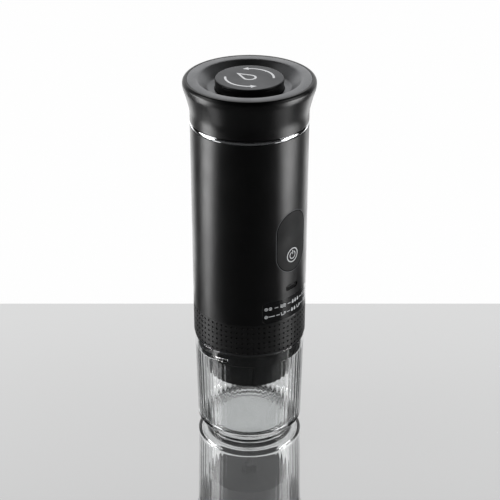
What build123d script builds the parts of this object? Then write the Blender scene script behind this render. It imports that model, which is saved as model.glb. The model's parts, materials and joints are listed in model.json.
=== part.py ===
from build123d import *

import os
from math import radians, sin, sqrt

# Handheld espresso maker: a tube with a water tank under a flared screw cap, a battery and pump
# section with a control panel, a brew head with a filter holder, and a clear cup below.
# Millimetres. The cup stands on Z = 0, the axis is Z and the control panel faces -Y.

os.makedirs("parts", exist_ok=True)

# ---------------------------------------------------------------- Driving dimensions

# Tube
body_radius = 35.0
body_wall = 1.4
small_gap = 0.1
seam_gap = 0.15
edge_tolerance = 0.01
front_angle = -90.0

# Stack, upward from the table
cup_height = 68.8
rim_seal_thickness = 0.6
grip_height = 21.6
shell_height = 118.6
trim_height = 2.5
cap_gap = 0.4
cap_height = 24.7

# Clear cup
cup_rim_radius = 34.5
cup_base_radius = 33.4
cup_rim_wall = 2.3
cup_base_wall = 2.5
cup_edge_height = 6.6
cup_bottom_round = 1.5
cup_foot_radius = 28.0
cup_foot_height = 4.8
cup_foot_wall = 3.8
cup_floor_underside = 2.8
cup_floor_thickness = 4.4
cup_inner_round = 2.5
cup_rim_round = 0.5
flute_count = 64
flute_radius = 4.0
flute_depth = 0.22
flute_top_drop = 8.1

# Bayonet between the cup and the brew head
neck_clearance = 0.4
neck_engagement = 9.4
lug_count = 3
lug_arc = 18.0
lug_root_height = 1.9
lug_crest_height = 1.5
lug_drop = 6.6
lug_reach = 1.1
lug_first_angle = -171.0
bayonet_lead = 16.0
bayonet_turn = 95.0
bayonet_clearance = 0.4
bayonet_end_gap = 1.5

# Two-start screw threads of the cap and of the filter holder
thread_lead = 6.0
thread_starts = 2
thread_rib_arc = 120.0
thread_root_width = 1.2
thread_crest_width = 0.8
thread_depth = 1.6
thread_clearance = 0.4
rib_embed = 0.3

# Brew head
head_wall = 4.2
head_upper_wall = 2.0
head_rib_rise = 5.4
deck_rise = 16.6
deck_thickness = 4.0
spreader_depth = 0.8
spreader_radius = 17.0
screen_radius = 20.6
screen_thickness = 0.8
screen_hole_radius = 0.6
screen_hole_rings = 5
screen_ring_pitch = 3.6
brew_gasket_thickness = 2.3
barb_radius = 2.0
barb_bore = 1.0
barb_length = 6.0
head_boss_radius = 3.6
head_boss_circle_radius = 25.0
head_screw_count = 3
head_screw_length = 10.0
neck_chamfer = 0.5
grip_round = 1.2

# Filter holder and basket
holder_depth = 31.2
holder_wall = 3.7
holder_floor = 2.8
nozzle_length = 6.2
nozzle_radius = 5.0
nozzle_bore = 2.2
nozzle_chamfer = 0.6
grip_rib_width = 1.2
grip_rib_depth = 0.5
grip_rib_drop = 17.4
grip_rib_angle = -131.0
basket_clearance = 0.6
basket_wall = 0.5
basket_depth = 24.0
basket_hole_radius = 0.5
basket_hole_rings = 6
basket_ring_pitch = 3.1

# Chassis and battery
plate_thickness = 3.0
plate_clearance = 0.4
cell_radius = 9.2
cell_length = 65.0
cell_count = 3
cell_gap = 0.5
cell_cap_radius = 3.0
cell_cap_height = 0.8
link_thickness = 0.3
link_width = 7.0
standoff_radius = 2.2
standoff_circle_radius = 29.0
standoff_angles = (10, 50, 130, 170)
plate_screw_length = 7.0

# Pump
pump_cradle_height = 19.0
pump_cradle_wall = 1.5
pump_tube_bore = 4.2
pump_tube_wall = 1.3
pump_tube_length = 38.0
pump_end_thickness = 2.0
pump_barb_length = 8.0
coil_radius = 9.0
coil_length = 24.0
pump_frame_thickness = 1.2
pump_frame_width = 14.0
plunger_clearance = 0.3
plunger_length = 20.0
plunger_spring_length = 9.0
pump_tail = 5.0

# Hoses
hose_wall = 1.0
hose_slack = 0.05
hose_grip = 5.0

# Control board, switch and socket
board_setback = 7.0
board_width = 34.0
board_thickness = 1.6
board_end_gap = 4.0
board_top_gap = 2.0
tab_width = 6.0
tab_depth = 3.5
tab_height = 9.0
tab_offset = 12.0
board_screw_drop = 2.0
board_screw_bite = 2.8
chip_size = 7.0
chip_height = 1.0
chip_above_switch = 12.0
inductor_size = 6.5
inductor_height = 3.0
inductor_corner = 1.0
inductor_offset = 10.4
capacitor_radius = 3.0
capacitor_height = 3.0
capacitor_pitch = 8.0
tact_size = 6.0
tact_body_height = 2.8
tact_height = 3.5
tact_travel_gap = 0.7
usb_height_above_band = 21.6
usb_width = 8.94
usb_height = 3.26
usb_wall = 0.3
usb_tongue_width = 6.7
usb_tongue_thickness = 0.7
usb_back_thickness = 1.8
usb_setback = 1.05
usb_slot_width = 10.5
usb_slot_height = 3.7

# Control panel and power button
panel_height = 39.6
panel_width = 24.5
panel_centre_above_band = 52.35
panel_thickness = 1.6
button_inset = 10.5
button_radius = 5.2
button_thickness = 2.6
button_flange_radius = 6.2
button_flange_thickness = 1.0
button_stem_radius = 1.5
symbol_depth = 0.35
symbol_ring_radius = 4.75
symbol_line = 0.7
glyph_radius = 2.6
glyph_line = 0.6
glyph_gap_width = 1.9
glyph_stroke_rise = 1.9
label_half_angle = 34.6
label_height = 14.3
label_above_band = 0.8
label_thickness = 0.12
label_corner = 3.0

# Water tank
tank_clearance = 4.4
tank_wall = 0.6
tank_floor = 0.8
tank_standoff = 3.4
tank_seat_radius = 26.0
tank_seat_width = 2.0
tank_flange_thickness = 0.8
tank_gasket_thickness = 1.0
tank_nozzle_length = 8.0
heater_drop = 12.2
heater_thickness = 1.0
heater_rise = 2.0
sensor_radius = 2.5
sensor_circle_radius = 12.0
sensor_height = 2.8

# Collar under the cap
collar_height = 10.4
collar_recess = 0.5
collar_wall = 2.5
collar_rib_drop = 5.1

# Screw cap
cap_wall = 1.7
cap_flare_margin = 0.4
cap_rim_radius = 38.9
cap_rim_drop = 2.3
cap_rim_inset = 1.5
cap_straight = 4.0
cap_flare_share = 0.242
cap_flare_height = 10.2
cap_shoulder_share = 0.768
cap_shoulder_height = 17.6
cap_rim_width = 2.65
cap_plate_thickness = 1.8
cap_ledge_width = 1.6
cap_inner_ledge_width = 4.0
cap_inner_ledge_thickness = 2.5
cap_screw_count = 3
cap_screw_bite = 1.75
plug_depth = 9.5
plug_wall = 2.0
plug_floor = 2.0
plug_flange_thickness = 2.5
dish_border = 6.0
dish_floor_width = 4.5
dish_wall_offset = 0.8
dish_depth = 6.2

# Vent button in the cap
knob_radius = 20.0
knob_clearance = 0.4
knob_proud = 0.2
knob_top_thickness = 2.2
knob_wall = 2.0
knob_chamfer = 0.8
knob_flange_width = 2.0
knob_flange_thickness = 1.5
knob_flange_gap = 0.3
knob_groove_depth = 0.3
knob_groove_drop = 1.0
stem_radius = 3.0
stem_clearance = 0.3
guide_wall = 2.0
guide_height = 17.0
valve_radius = 8.0
valve_thickness = 1.5
pin_radius = 1.5
clip_radius = 3.5
clip_thickness = 0.5
vent_hole_radius = 0.8
vent_hole_count = 6
vent_hole_margin = 1.2
badge_depth = 0.3
badge_line = 1.3
drop_radius = 4.2
drop_height = 10.5
arrow_radius = 14.0
arrow_arc = 100.0
arrow_head = 2.4

# Springs
spring_wire_radius = 0.45
vent_spring_radius = 4.4
vent_spring_turns = 5.0
plunger_spring_radius = 3.0
plunger_spring_turns = 4.0

# Screws
m3_radius = 1.5
m3_head_radius = 2.75
m3_head_height = 2.0
m2_radius = 1.0
m2_head_radius = 1.8
m2_head_height = 1.2
screw_hole_gap = 0.05
screw_end_gap = 0.25
socket_share = 0.6

# ---------------------------------------------------------------- Heights and radii of the stack

grip_bottom = cup_height + rim_seal_thickness
shell_bottom = grip_bottom + grip_height
shell_top = shell_bottom + shell_height
trim_top = shell_top + trim_height
cap_bottom = trim_top + cap_gap
cap_top = cap_bottom + cap_height

shell_inner = body_radius - body_wall
cup_rim_inner = cup_rim_radius - cup_rim_wall
neck_radius = cup_rim_inner - neck_clearance
neck_bottom = cup_height - neck_engagement
bore_radius = neck_radius - head_wall
deck_bottom = neck_bottom + deck_rise
deck_top = deck_bottom + deck_thickness

plate_radius = shell_inner - plate_clearance
lower_plate_top = shell_bottom + plate_thickness
cell_bottom = lower_plate_top + link_thickness
cell_top = cell_bottom + cell_length
upper_plate_bottom = cell_top + link_thickness
upper_plate_top = upper_plate_bottom + plate_thickness
cell_circle = shell_inner - cell_radius - cell_gap

collar_top = trim_top - collar_recess
collar_bottom = collar_top - collar_height
collar_outer = shell_inner - small_gap
collar_bore = collar_outer - collar_wall
collar_crest = collar_bore - thread_depth
plug_radius = collar_crest - thread_clearance
tank_radius = shell_inner - tank_clearance
tank_bottom = upper_plate_top + tank_standoff
tank_top = collar_bottom - tank_gasket_thickness
tank_nozzle_bottom = tank_bottom - tank_nozzle_length

front_reach = body_radius + 2 * body_wall
front_plane = Plane.XZ.offset(front_reach)


# ---------------------------------------------------------------- Helpers


def section(inner, outer, bottom, top):
    """Rectangle beside the axis, between two radii and two heights."""
    with BuildSketch(Plane.XZ) as face:
        with Locations(((inner + outer) / 2, (bottom + top) / 2)):
            Rectangle(outer - inner, top - bottom)
    return face.sketch


def outline(*points):
    """Closed polygon of (radius, height) points beside the axis."""
    with BuildSketch(Plane.XZ) as face:
        with BuildLine():
            Polyline(*points, close=True)
        make_face()
    return face.sketch


def helical_rib(wall, crest, root_width, crest_width, lead, start_height, arc):
    """Rib with a trapezoid section on a right-hand helix that starts over the X axis."""
    root = wall - rib_embed if crest > wall else wall + rib_embed
    with BuildPart() as rib:
        with BuildLine():
            Helix(lead, lead * arc / 360, wall, center=(0, 0, start_height))
        with BuildSketch(Plane.XZ):
            with BuildLine():
                Polyline(
                    (root, start_height - root_width / 2),
                    (crest, start_height - crest_width / 2),
                    (crest, start_height + crest_width / 2),
                    (root, start_height + root_width / 2),
                    close=True,
                )
            make_face()
        sweep(is_frenet=True)
    return rib.part


def thread_rib(wall, crest, start_height):
    """One start of a screw thread."""
    return helical_rib(
        wall, crest, thread_root_width, thread_crest_width, thread_lead, start_height, thread_rib_arc
    )


def coil_spring(radius, bottom, top, turns):
    """Round-wire compression spring that fills the height between two seats."""
    rise = top - bottom - 2 * spring_wire_radius - 2 * small_gap
    start = bottom + spring_wire_radius + small_gap
    with BuildPart() as spring:
        with BuildLine() as path:
            Helix(rise / turns, rise, radius, center=(0, 0, start))
        with BuildSketch(Plane(origin=path.line @ 0, z_dir=path.line % 0)):
            Circle(spring_wire_radius)
        sweep(is_frenet=True)
    return spring.part


def screw(radius, head_radius, head_height, length):
    """Cap screw with its head above Z = 0 and its shank below."""
    with BuildPart() as piece:
        revolve(section(0, head_radius, 0, head_height), axis=Axis.Z)
        revolve(section(0, radius, -length, 0), axis=Axis.Z)
        revolve(
            section(0, radius * socket_share, head_height / 2, head_height),
            axis=Axis.Z,
            mode=Mode.SUBTRACT,
        )
    return piece.part


def wrapped(face, inner, outer):
    """Piece of tube wall between two radii, cut out by a face drawn on the front plane."""
    with BuildPart() as piece:
        extrude(face, amount=-front_reach)
        revolve(section(inner, outer, 0, cap_top), axis=Axis.Z, mode=Mode.INTERSECT)
    return piece.part


def hole_rings(hole_radius, rings, pitch):
    """Perforation: a centre hole and rings of holes with an even pitch, drawn on Z = 0."""
    with BuildSketch() as holes:
        Circle(hole_radius)
        for ring in range(1, rings + 1):
            with PolarLocations(ring * pitch, 6 * ring):
                Circle(hole_radius)
    return holes.sketch


# ---------------------------------------------------------------- Clear cup

cup_floor_top = cup_floor_underside + cup_floor_thickness
cup_inner_base = cup_base_radius - cup_base_wall
lug_height = cup_height - lug_drop
lug_crest = cup_rim_inner - lug_reach
inner_taper_top = neck_bottom - neck_clearance
lug = helical_rib(
    cup_rim_inner,
    lug_crest,
    lug_root_height,
    lug_crest_height,
    bayonet_lead,
    lug_height - bayonet_lead * lug_arc / 720,
    lug_arc,
)

flute_bottom = Vector(cup_inner_base + flute_depth - flute_radius, 0, cup_floor_top + cup_inner_round)
flute_knee = Vector(cup_rim_inner + flute_depth - flute_radius, 0, inner_taper_top)
flute_top = Vector(flute_knee.X, 0, cup_height - flute_top_drop)
with BuildPart() as flute:
    with BuildSketch(Plane(origin=flute_bottom, x_dir=(1, 0, 0), z_dir=flute_knee - flute_bottom)):
        Circle(flute_radius)
    extrude(amount=(flute_knee - flute_bottom).length)
    with BuildSketch(Plane(origin=flute_knee)):
        Circle(flute_radius)
    extrude(amount=flute_top.Z - flute_knee.Z)

with BuildPart() as cup:
    with BuildSketch(Plane.XZ):
        with BuildLine():
            outer_side = Polyline(
                (cup_foot_radius - cup_foot_wall, 0),
                (cup_foot_radius, 0),
                (cup_foot_radius, cup_foot_height),
                (cup_base_radius, cup_edge_height),
                (cup_rim_radius, cup_height),
            )
            Polyline(
                outer_side @ 1,
                (cup_rim_inner, cup_height),
                (cup_rim_inner, inner_taper_top),
                (cup_inner_base, cup_floor_top),
                (0, cup_floor_top),
                (0, cup_floor_underside),
                (cup_foot_radius - cup_foot_wall, cup_floor_underside),
                outer_side @ 0,
            )
        make_face()
    revolve(axis=Axis.Z)
    rings = cup.edges().filter_by(GeomType.CIRCLE)
    fillet(rings.filter_by(lambda e: abs(e.radius - cup_base_radius) < edge_tolerance), cup_bottom_round)
    rings = cup.edges().filter_by(GeomType.CIRCLE)
    fillet(rings.filter_by(lambda e: abs(e.radius - cup_inner_base) < edge_tolerance), cup_inner_round)
    fillet(cup.faces().sort_by(Axis.Z)[-1].edges(), cup_rim_round)
    with PolarLocations(0, flute_count):
        add(flute.part, mode=Mode.SUBTRACT)
    with PolarLocations(0, lug_count, start_angle=lug_first_angle - lug_arc / 2):
        add(lug)
cup.part.label = "cup"
export_step(cup.part, "parts/cup.step")

with BuildPart() as cup_rim_seal:
    revolve(
        section(cup_rim_inner + small_gap, cup_rim_radius - 2 * small_gap, cup_height, grip_bottom),
        axis=Axis.Z,
    )
cup_rim_seal.part.label = "cup_rim_seal"
export_step(cup_rim_seal.part, "parts/cup_rim_seal.step")

# ---------------------------------------------------------------- Brew head

# Each bayonet groove starts just past the seated lug and winds down out of the neck.
groove_arc = lug_arc + bayonet_turn + 2 * bayonet_end_gap
groove_back = lug_arc / 2 + bayonet_turn + bayonet_end_gap
groove = helical_rib(
    neck_radius,
    lug_crest - bayonet_clearance,
    lug_root_height + 2 * bayonet_clearance,
    lug_crest_height + 2 * bayonet_clearance,
    bayonet_lead,
    lug_height - bayonet_lead * groove_back / 360,
    groove_arc,
)
head_rib_start = neck_bottom + head_rib_rise
head_rib = thread_rib(bore_radius, bore_radius - thread_depth + thread_clearance, head_rib_start)
head_barb_top = lower_plate_top + barb_length

with BuildPart() as brew_head:
    revolve(section(bore_radius, neck_radius, neck_bottom, deck_top), axis=Axis.Z)
    chamfer(brew_head.edges().group_by(Axis.Z)[0].sort_by(SortBy.RADIUS)[-1], neck_chamfer)
    revolve(section(neck_radius - head_upper_wall, neck_radius, deck_top, shell_bottom), axis=Axis.Z)
    revolve(section(0, bore_radius + small_gap, deck_bottom, deck_top), axis=Axis.Z)
    revolve(section(0, barb_radius, deck_top, head_barb_top), axis=Axis.Z)
    with BuildSketch(Plane.XY.offset(deck_top)):
        with PolarLocations(head_boss_circle_radius, head_screw_count, start_angle=front_angle):
            Circle(head_boss_radius)
    extrude(amount=shell_bottom - deck_top)
    with BuildSketch(Plane.XY.offset(shell_bottom)):
        with PolarLocations(head_boss_circle_radius, head_screw_count, start_angle=front_angle):
            Circle(m3_radius + screw_hole_gap)
    extrude(amount=-(head_screw_length - plate_thickness), mode=Mode.SUBTRACT)
    revolve(section(0, barb_bore, deck_bottom, head_barb_top), axis=Axis.Z, mode=Mode.SUBTRACT)
    revolve(
        section(0, spreader_radius, deck_bottom, deck_bottom + spreader_depth),
        axis=Axis.Z,
        mode=Mode.SUBTRACT,
    )
    with PolarLocations(0, thread_starts):
        add(head_rib)
    with PolarLocations(0, lug_count, start_angle=lug_first_angle - groove_back):
        add(groove, mode=Mode.SUBTRACT)
brew_head.part.label = "brew_head"
export_step(brew_head.part, "parts/brew_head.step")

with BuildPart() as shower_screen:
    with BuildSketch(Plane.XY.offset(deck_bottom)):
        Circle(screen_radius)
        add(hole_rings(screen_hole_radius, screen_hole_rings, screen_ring_pitch), mode=Mode.SUBTRACT)
    extrude(amount=-screen_thickness)
shower_screen.part.label = "shower_screen"
export_step(shower_screen.part, "parts/shower_screen.step")

with BuildPart() as head_screws:
    with Locations((0, 0, lower_plate_top)):
        with PolarLocations(head_boss_circle_radius, head_screw_count, start_angle=front_angle):
            add(screw(m3_radius, m3_head_radius, m3_head_height, head_screw_length))
head_screws.part.label = "head_screws"
export_step(head_screws.part, "parts/head_screws.step")

with BuildPart() as grip_band:
    revolve(section(neck_radius + small_gap, body_radius, grip_bottom, shell_bottom), axis=Axis.Z)
    fillet(grip_band.edges().group_by(Axis.Z)[0].sort_by(SortBy.RADIUS)[-1], grip_round)
grip_band.part.label = "grip_band"
export_step(grip_band.part, "parts/grip_band.step")

# ---------------------------------------------------------------- Filter holder and basket

holder_radius = bore_radius - thread_depth
holder_bore = holder_radius - holder_wall
basket_outer = holder_bore - basket_clearance
gasket_top = deck_bottom - small_gap
basket_rim_top = gasket_top - brew_gasket_thickness
holder_top = basket_rim_top - basket_wall
holder_bottom = holder_top - holder_depth
nozzle_bottom = holder_bottom - nozzle_length
basket_floor = holder_top - basket_depth
holder_rib_start = head_rib_start + thread_lead / thread_starts / 2
holder_rib = thread_rib(holder_radius, holder_radius + thread_depth - thread_clearance, holder_rib_start)

with BuildPart() as portafilter:
    revolve(section(0, holder_radius, holder_bottom, holder_top), axis=Axis.Z)
    revolve(section(0, nozzle_radius, nozzle_bottom, holder_bottom), axis=Axis.Z)
    chamfer(portafilter.edges().group_by(Axis.Z)[0], nozzle_chamfer)
    revolve(
        section(0, holder_bore, holder_bottom + holder_floor, holder_top),
        axis=Axis.Z,
        mode=Mode.SUBTRACT,
    )
    revolve(section(0, nozzle_bore, nozzle_bottom, holder_top), axis=Axis.Z, mode=Mode.SUBTRACT)
    with BuildSketch(Plane.XY.offset(holder_bottom)):
        with PolarLocations(holder_radius, 1, start_angle=grip_rib_angle):
            Rectangle(2 * grip_rib_depth, grip_rib_width)
    extrude(amount=holder_depth - grip_rib_drop)
    with PolarLocations(0, thread_starts):
        add(holder_rib)
portafilter.part.label = "portafilter"
export_step(portafilter.part, "parts/portafilter.step")

with BuildPart() as filter_basket:
    with BuildSketch(Plane.XY.offset(basket_floor)):
        Circle(basket_outer)
        add(hole_rings(basket_hole_radius, basket_hole_rings, basket_ring_pitch), mode=Mode.SUBTRACT)
    extrude(amount=basket_wall)
    revolve(section(basket_outer - basket_wall, basket_outer, basket_floor, basket_rim_top), axis=Axis.Z)
    revolve(
        section(basket_outer, holder_radius - basket_wall, holder_top, basket_rim_top),
        axis=Axis.Z,
    )
filter_basket.part.label = "filter_basket"
export_step(filter_basket.part, "parts/filter_basket.step")

with BuildPart() as brew_gasket:
    revolve(
        section(
            screen_radius + thread_clearance,
            bore_radius - thread_clearance,
            basket_rim_top,
            gasket_top,
        ),
        axis=Axis.Z,
    )
brew_gasket.part.label = "brew_gasket"
export_step(brew_gasket.part, "parts/brew_gasket.step")

# ---------------------------------------------------------------- Chassis, board and battery

board_front = shell_inner - board_setback
board_back = board_front - board_thickness
board_bottom = lower_plate_top + board_end_gap
board_top = upper_plate_bottom - board_top_gap
board_screw_low = board_bottom + board_screw_drop
board_screw_high = board_top - board_screw_drop
board_screw_length = board_thickness + board_screw_bite
board_screw_places = [
    (side * tab_offset, height) for side in (-1, 1) for height in (board_screw_low, board_screw_high)
]
rear_angle = front_angle + 180.0
hose_radius = barb_radius + hose_slack + hose_wall
hose_hole = hose_radius + thread_clearance


def board_tabs(start, amount):
    """The pair of posts of a chassis plate that the control board is screwed to."""
    with BuildPart() as tabs:
        with BuildSketch(Plane.XY.offset(start)):
            with Locations(*[(side * tab_offset, -board_back + tab_depth / 2) for side in (-1, 1)]):
                Rectangle(tab_width, tab_depth)
        extrude(amount=amount)
    return tabs.part


def board_screw_holes(radius):
    """Screw holes through the control board and into its posts."""
    with BuildPart() as holes:
        with BuildSketch(Plane.XZ.offset(board_front)):
            with Locations(*board_screw_places):
                Circle(radius)
        extrude(amount=-board_screw_length)
    return holes.part


screw_holes = board_screw_holes(m2_radius + screw_hole_gap)
with BuildPart() as chassis_lower:
    revolve(section(hose_hole, plate_radius, shell_bottom, lower_plate_top), axis=Axis.Z)
    add(board_tabs(lower_plate_top, tab_height))
    with BuildSketch(Plane.XY.offset(shell_bottom)):
        with PolarLocations(head_boss_circle_radius, head_screw_count, start_angle=front_angle):
            Circle(m3_radius + 2 * screw_hole_gap)
    extrude(amount=plate_thickness, mode=Mode.SUBTRACT)
    add(screw_holes, mode=Mode.SUBTRACT)
chassis_lower.part.label = "chassis_lower"
export_step(chassis_lower.part, "parts/chassis_lower.step")

with BuildPart() as chassis_upper:
    revolve(section(hose_hole, plate_radius, upper_plate_bottom, upper_plate_top), axis=Axis.Z)
    revolve(
        section(tank_seat_radius - tank_seat_width, tank_seat_radius, upper_plate_top, tank_bottom),
        axis=Axis.Z,
    )
    add(board_tabs(upper_plate_bottom, -tab_height))
    with BuildSketch(Plane.XY.offset(upper_plate_bottom)):
        for angle in standoff_angles:
            with PolarLocations(standoff_circle_radius, 1, start_angle=angle):
                Circle(m2_radius + screw_hole_gap)
    extrude(amount=plate_thickness, mode=Mode.SUBTRACT)
    add(screw_holes, mode=Mode.SUBTRACT)
chassis_upper.part.label = "chassis_upper"
export_step(chassis_upper.part, "parts/chassis_upper.step")

with BuildPart() as chassis_standoffs:
    with BuildSketch(Plane.XY.offset(lower_plate_top)):
        for angle in standoff_angles:
            with PolarLocations(standoff_circle_radius, 1, start_angle=angle):
                Circle(standoff_radius)
    extrude(amount=upper_plate_bottom - lower_plate_top)
    with BuildSketch(Plane.XY.offset(upper_plate_bottom)):
        for angle in standoff_angles:
            with PolarLocations(standoff_circle_radius, 1, start_angle=angle):
                Circle(m2_radius + screw_hole_gap)
    extrude(amount=-(plate_screw_length - plate_thickness), mode=Mode.SUBTRACT)
chassis_standoffs.part.label = "chassis_standoffs"
export_step(chassis_standoffs.part, "parts/chassis_standoffs.step")

with BuildPart() as chassis_screws:
    with Locations((0, 0, upper_plate_top)):
        for angle in standoff_angles:
            with PolarLocations(standoff_circle_radius, 1, start_angle=angle):
                add(screw(m2_radius, m2_head_radius, m2_head_height, plate_screw_length))
chassis_screws.part.label = "chassis_screws"
export_step(chassis_screws.part, "parts/chassis_screws.step")

for index in range(cell_count):
    cell_angle = rear_angle + index * 360 / cell_count
    with BuildPart() as battery_cell:
        with BuildSketch(Plane.XY.offset(cell_bottom)):
            with PolarLocations(cell_circle, 1, start_angle=cell_angle):
                Circle(cell_radius)
        extrude(amount=cell_length - cell_cap_height)
        with BuildSketch(Plane.XY.offset(cell_top)):
            with PolarLocations(cell_circle, 1, start_angle=cell_angle):
                Circle(cell_cap_radius)
        extrude(amount=-cell_cap_height)
    battery_cell.part.label = f"battery_cell_{index + 1}"
    export_step(battery_cell.part, f"parts/battery_cell_{index + 1}.step")

with BuildPart() as battery_links:
    for link_bottom in (lower_plate_top, cell_top):
        with BuildSketch(Plane.XY.offset(link_bottom)):
            with PolarLocations(cell_circle, cell_count, start_angle=rear_angle):
                Circle(link_width / 2)
        extrude(amount=link_thickness)
battery_links.part.label = "battery_links"
export_step(battery_links.part, "parts/battery_links.step")

with BuildPart() as control_board:
    with BuildSketch(Plane.XZ.offset(board_back)):
        with Locations((0, (board_bottom + board_top) / 2)):
            RectangleRounded(board_width, board_top - board_bottom, m2_radius)
    extrude(amount=board_thickness)
    add(screw_holes, mode=Mode.SUBTRACT)
control_board.part.label = "control_board"
export_step(control_board.part, "parts/control_board.step")

with BuildPart() as board_screws:
    board_screw = screw(m2_radius, m2_head_radius, m2_head_height, board_screw_length)
    for x, z in board_screw_places:
        with Locations(Location((x, -board_front, z), (90, 0, 0))):
            add(board_screw)
board_screws.part.label = "board_screws"
export_step(board_screws.part, "parts/board_screws.step")

panel_centre = shell_bottom + panel_centre_above_band
button_centre = panel_centre - panel_height / 2 + button_inset
usb_centre = shell_bottom + usb_height_above_band

with BuildPart() as driver_chip:
    with BuildSketch(Plane.XZ.offset(board_front)):
        with Locations((0, button_centre + chip_above_switch)):
            Rectangle(chip_size, chip_size)
    extrude(amount=chip_height)
driver_chip.part.label = "driver_chip"
export_step(driver_chip.part, "parts/driver_chip.step")

with BuildPart() as inductor:
    with BuildSketch(Plane.XZ.offset(board_front)):
        with Locations((inductor_offset, usb_centre + inductor_size)):
            RectangleRounded(inductor_size, inductor_size, inductor_corner)
    extrude(amount=inductor_height)
inductor.part.label = "inductor"
export_step(inductor.part, "parts/inductor.step")

with BuildPart() as smoothing_capacitors:
    with BuildSketch(Plane.XZ.offset(board_front)):
        with Locations((-tab_offset, button_centre), (-tab_offset, button_centre - capacitor_pitch)):
            Circle(capacitor_radius)
    extrude(amount=capacitor_height)
smoothing_capacitors.part.label = "smoothing_capacitors"
export_step(smoothing_capacitors.part, "parts/smoothing_capacitors.step")

with BuildPart() as tact_switch:
    with BuildSketch(Plane.XZ.offset(board_front)):
        with Locations((0, button_centre)):
            Rectangle(tact_size, tact_size)
    extrude(amount=tact_body_height)
    with BuildSketch(Plane.XZ.offset(board_front)):
        with Locations((0, button_centre)):
            Circle(button_stem_radius)
    extrude(amount=tact_height)
tact_switch.part.label = "tact_switch"
export_step(tact_switch.part, "parts/tact_switch.step")

usb_front = body_radius - usb_setback
with BuildPart() as usb_socket:
    with BuildSketch(Plane.XZ.offset(board_front)):
        with Locations((0, usb_centre)):
            SlotOverall(usb_width, usb_height)
            SlotOverall(usb_width - 2 * usb_wall, usb_height - 2 * usb_wall, mode=Mode.SUBTRACT)
            Rectangle(usb_tongue_width, usb_tongue_thickness)
    extrude(amount=usb_front - board_front)
    with BuildSketch(Plane.XZ.offset(board_front)):
        with Locations((0, usb_centre)):
            SlotOverall(usb_width, usb_height)
    extrude(amount=usb_back_thickness)
usb_socket.part.label = "usb_socket"
export_step(usb_socket.part, "parts/usb_socket.step")

# ---------------------------------------------------------------- Pump

frame_bottom = lower_plate_top + pump_cradle_height
pump_tube_outer = pump_tube_bore + pump_tube_wall
pump_tube_bottom = frame_bottom - pump_tail
pump_tube_top = pump_tube_bottom + pump_tube_length
coil_bottom = frame_bottom + pump_frame_thickness
coil_top = coil_bottom + coil_length
frame_top = coil_top + pump_frame_thickness
frame_half = coil_radius + small_gap + pump_frame_thickness
spring_seat = pump_tube_bottom + pump_end_thickness
plunger_bottom = spring_seat + plunger_spring_length
plunger_radius = pump_tube_bore - plunger_clearance

with BuildPart() as pump_cradle:
    revolve(
        section(coil_radius - pump_cradle_wall, coil_radius, lower_plate_top, frame_bottom), axis=Axis.Z
    )
pump_cradle.part.label = "pump_cradle"
export_step(pump_cradle.part, "parts/pump_cradle.step")

with BuildPart() as pump_tube:
    revolve(section(0, pump_tube_outer, pump_tube_bottom, pump_tube_top), axis=Axis.Z)
    revolve(
        section(
            0,
            barb_radius,
            pump_tube_bottom - pump_barb_length,
            pump_tube_top + pump_barb_length,
        ),
        axis=Axis.Z,
    )
    revolve(
        section(0, pump_tube_bore, spring_seat, pump_tube_top - pump_end_thickness),
        axis=Axis.Z,
        mode=Mode.SUBTRACT,
    )
    revolve(
        section(
            0,
            barb_bore,
            pump_tube_bottom - pump_barb_length,
            pump_tube_top + pump_barb_length,
        ),
        axis=Axis.Z,
        mode=Mode.SUBTRACT,
    )
pump_tube.part.label = "pump_tube"
export_step(pump_tube.part, "parts/pump_tube.step")

with BuildPart() as pump_coil:
    revolve(section(pump_tube_outer + small_gap, coil_radius, coil_bottom, coil_top), axis=Axis.Z)
pump_coil.part.label = "pump_coil"
export_step(pump_coil.part, "parts/pump_coil.step")

with BuildPart() as pump_frame:
    with BuildSketch(Plane.XZ.offset(-pump_frame_width / 2)):
        with Locations((0, (frame_bottom + frame_top) / 2)):
            Rectangle(2 * frame_half, frame_top - frame_bottom)
            Rectangle(2 * (frame_half - pump_frame_thickness), coil_length, mode=Mode.SUBTRACT)
    extrude(amount=pump_frame_width)
    revolve(
        section(0, pump_tube_outer + small_gap, frame_bottom, frame_top),
        axis=Axis.Z,
        mode=Mode.SUBTRACT,
    )
pump_frame.part.label = "pump_frame"
export_step(pump_frame.part, "parts/pump_frame.step")

with BuildPart() as pump_plunger:
    revolve(
        section(barb_bore, plunger_radius, plunger_bottom, plunger_bottom + plunger_length), axis=Axis.Z
    )
pump_plunger.part.label = "pump_plunger"
export_step(pump_plunger.part, "parts/pump_plunger.step")

with BuildPart() as pump_spring:
    add(coil_spring(plunger_spring_radius, spring_seat, plunger_bottom, plunger_spring_turns))
pump_spring.part.label = "pump_spring"
export_step(pump_spring.part, "parts/pump_spring.step")

hose_bore = barb_radius + hose_slack
with BuildPart() as outlet_hose:
    revolve(
        section(
            hose_bore,
            hose_radius,
            head_barb_top - hose_grip,
            pump_tube_bottom - pump_barb_length + hose_grip,
        ),
        axis=Axis.Z,
    )
outlet_hose.part.label = "outlet_hose"
export_step(outlet_hose.part, "parts/outlet_hose.step")

with BuildPart() as inlet_hose:
    revolve(
        section(
            hose_bore,
            hose_radius,
            pump_tube_top + pump_barb_length - hose_grip,
            tank_nozzle_bottom + hose_grip,
        ),
        axis=Axis.Z,
    )
inlet_hose.part.label = "inlet_hose"
export_step(inlet_hose.part, "parts/inlet_hose.step")

# ---------------------------------------------------------------- Water tank and collar

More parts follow.
